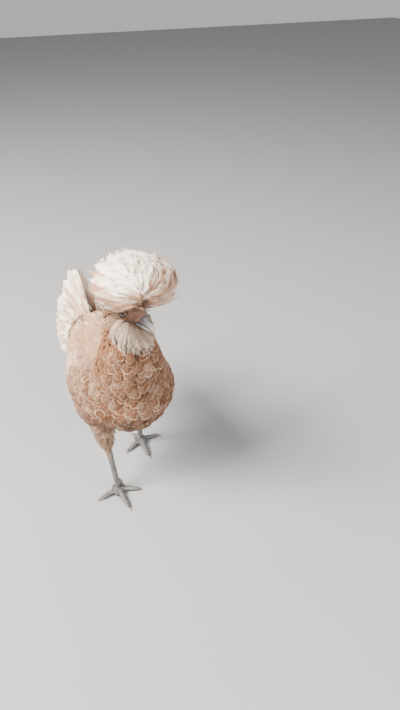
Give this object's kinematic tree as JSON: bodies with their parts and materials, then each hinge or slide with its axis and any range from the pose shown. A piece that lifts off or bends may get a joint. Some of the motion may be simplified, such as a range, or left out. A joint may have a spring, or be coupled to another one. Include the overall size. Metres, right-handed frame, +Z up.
{
  "type": "crested domestic hen",
  "caption": "Life-size standing hen in mid stride, head turned to its left, with a full round crest, a beard, laced buff and cream plumage, a raised tail and bare four-toed feet.",
  "frame": {"origin": "on the floor, at the middle of the whole bird's box", "axes": "+Z up; the body faces -Y and its left side is +X; the head looks towards -Y and +X"},
  "size_m": [0.1503, 0.3009, 0.4159],
  "materials": {
    "beard_feather": "fluffy, matt grey-cream beard feathers",
    "buff_feather": "soft, matt buff-chestnut feathers, each edged with cream",
    "cream_feather": "soft, matt cream feathers with buff centres",
    "crest_feather": "long, silky cream crest feathers with buff streaks",
    "eye": "wet, glossy reddish-brown iris round a black pupil",
    "face_skin": "fine, matt, pink-brown bare skin",
    "horn": "smooth, satin, pale horn",
    "scaled_leg": "satin, pale slate-grey scales"
  },
  "bodies": {
    "root": {"beard": "beard_feather", "bill_lower": "horn", "bill_upper": "horn", "claw_hind_l": "horn", "claw_hind_r": "horn", "claw_inner_l": "horn", "claw_inner_r": "horn", "claw_middle_l": "horn", "claw_middle_r": "horn", "claw_outer_l": "horn", "claw_outer_r": "horn", "crest": "crest_feather", "eye_l": "eye", "eye_r": "eye", "foot_l": "scaled_leg", "foot_r": "scaled_leg", "head": "face_skin", "neck": "buff_feather", "shank_l": "scaled_leg", "shank_r": "scaled_leg", "tail": "cream_feather", "thigh_l": "cream_feather", "thigh_r": "cream_feather", "toe_hind_l": "scaled_leg", "toe_hind_r": "scaled_leg", "toe_inner_l": "scaled_leg", "toe_inner_r": "scaled_leg", "toe_middle_l": "scaled_leg", "toe_middle_r": "scaled_leg", "toe_outer_l": "scaled_leg", "toe_outer_r": "scaled_leg", "torso": "buff_feather", "wing_l": "buff_feather", "wing_r": "buff_feather"}
  },
  "joints": []
}
